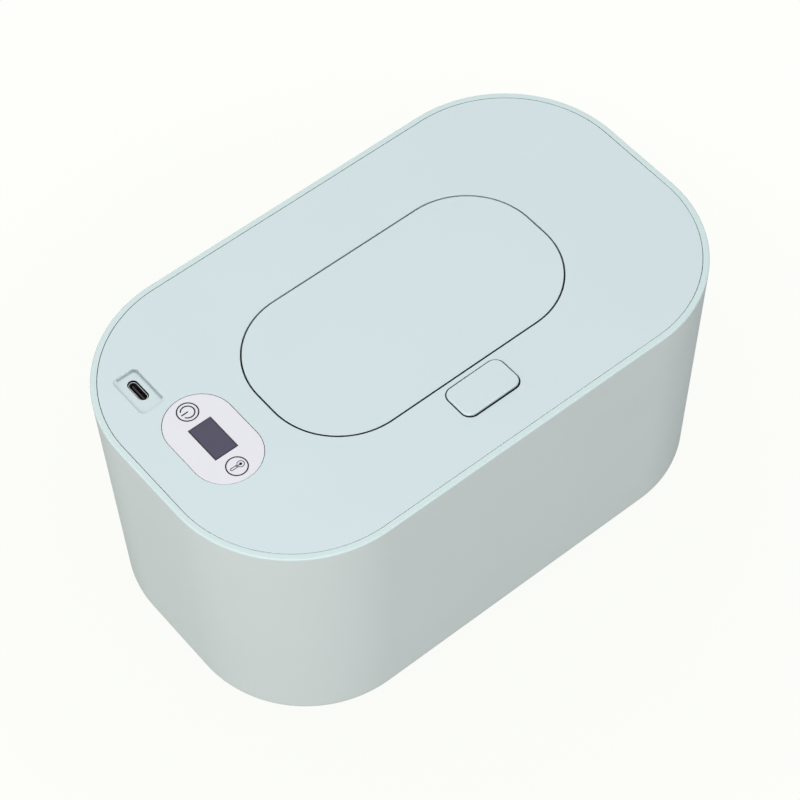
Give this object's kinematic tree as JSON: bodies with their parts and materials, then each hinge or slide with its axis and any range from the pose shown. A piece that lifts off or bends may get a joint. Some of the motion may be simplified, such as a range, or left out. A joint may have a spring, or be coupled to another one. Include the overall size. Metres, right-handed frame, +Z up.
{
  "type": "baby wipe warmer",
  "caption": "Tapered rounded box for wipes with a lift-off heated cover, a flip lid, a push-button latch, touch keys with a display, and a USB-C power inlet.",
  "frame": {"origin": "on the ground, under the middle of the box", "axes": "+X along the length, away from the control panel; -Y towards the release button; +Z up"},
  "size_m": [0.2154, 0.1294, 0.104],
  "materials": {
    "tub_plastic": "fine satin texture, pale mint",
    "deck_plastic": "fine satin texture, pale mint",
    "inner_plastic": "plain moulded white",
    "overlay": "satin printed film with grey symbols",
    "window": "smoked, smooth",
    "silicone": "matt silicone",
    "foot_rubber": "matt rubber",
    "steel": "zinc plated or spring steel",
    "plate_aluminium": "rolled sheet",
    "film": "polyimide film",
    "insulation": "felted pad",
    "board": "green lacquered board",
    "black_plastic": "moulded black",
    "nylon": "natural nylon",
    "red_sleeve": "wire insulation",
    "black_sleeve": "wire insulation",
    "white_sleeve": "wire insulation"
  },
  "bodies": {
    "box": {"box_body": "tub_plastic", "foot_front_left": "foot_rubber", "foot_front_right": "foot_rubber", "foot_back_left": "foot_rubber", "foot_back_right": "foot_rubber"},
    "cover": {"top_cover": "deck_plastic", "under_cover": "inner_plastic", "cover_seal": "silicone", "heat_plate": "plate_aluminium", "heating_film": "film", "insulation_pad": "insulation", "temperature_sensor": "black_plastic", "thermal_fuse": "steel", "control_overlay": "overlay", "display_window": "window", "display_module": "black_plastic", "control_board": "board", "touch_spring_power": "steel", "touch_spring_temperature": "steel", "usb_shell": "steel", "usb_core": "black_plastic", "hinge_pin": "steel", "lid_spring": "steel", "latch_spring": "steel", "cover_screw_1": "steel", "cover_screw_2": "steel", "cover_screw_3": "steel", "cover_screw_4": "steel", "cover_screw_5": "steel", "cover_screw_6": "steel", "board_screw_1": "steel", "board_screw_2": "steel", "board_screw_3": "steel", "heat_plate_screw_1": "steel", "heat_plate_screw_2": "steel", "heat_plate_screw_3": "steel", "heat_plate_screw_4": "steel", "heater_connector": "nylon", "sensor_connector": "nylon", "heater_lead_1": "red_sleeve", "heater_lead_2": "black_sleeve", "sensor_lead": "white_sleeve", "wire_grommet": "foot_rubber"},
    "flip_lid": {"lid_shell": "deck_plastic", "lid_inner": "inner_plastic", "lid_seal": "silicone"},
    "latch": {"latch_slide": "inner_plastic"},
    "button": {"release_button": "deck_plastic"}
  },
  "joints": [
    {"name": "cover_lift", "type": "slide", "parent": "box", "child": "cover", "axis": [0, 0, 1], "range_m": [0, 0.06]},
    {"name": "lid_hinge", "type": "hinge", "parent": "cover", "child": "flip_lid", "pos_m": [0, 0.0387, 0.0989], "axis": [-1, 0, 0], "range_deg": [0, 95], "deforming": ["lid_spring"]},
    {"name": "button_press", "type": "slide", "parent": "cover", "child": "button", "axis": [0, 0, -1], "range_m": [0, 0.0018], "stiffness_N_per_m": 400},
    {"name": "latch_retract", "type": "slide", "parent": "cover", "child": "latch", "axis": [0, -1, 0], "range_m": [0, 0.0018], "deforming": ["latch_spring"]}
  ],
  "couplings": [
    {"joint": "latch_retract", "follows": "button_press", "ratio": 1}
  ]
}
